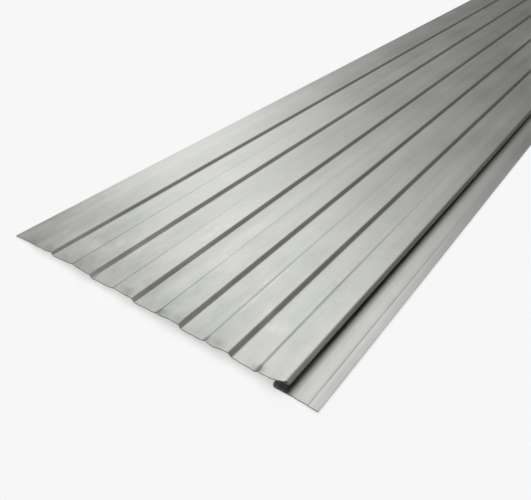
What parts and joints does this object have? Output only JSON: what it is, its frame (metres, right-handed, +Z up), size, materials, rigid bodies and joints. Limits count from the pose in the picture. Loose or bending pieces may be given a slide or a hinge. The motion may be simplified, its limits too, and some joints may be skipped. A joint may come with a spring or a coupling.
{
  "type": "aluminium cladding panel",
  "caption": "Roll-formed aluminium cladding panel with stepped boards, a tongue edge, a folded lock slot and a fixing flange.",
  "frame": {"origin": "middle of the underside, on the level floor that the panel lies on", "axes": "+X across the panel from the tongue edge to the fixing flange, +Y along its length, +Z up from its underside to its face"},
  "size_m": [0.33, 3, 0.0088],
  "materials": {
    "aluminium": "mill finish, satin"
  },
  "bodies": {
    "root": {"cladding_panel": "aluminium"}
  },
  "joints": []
}
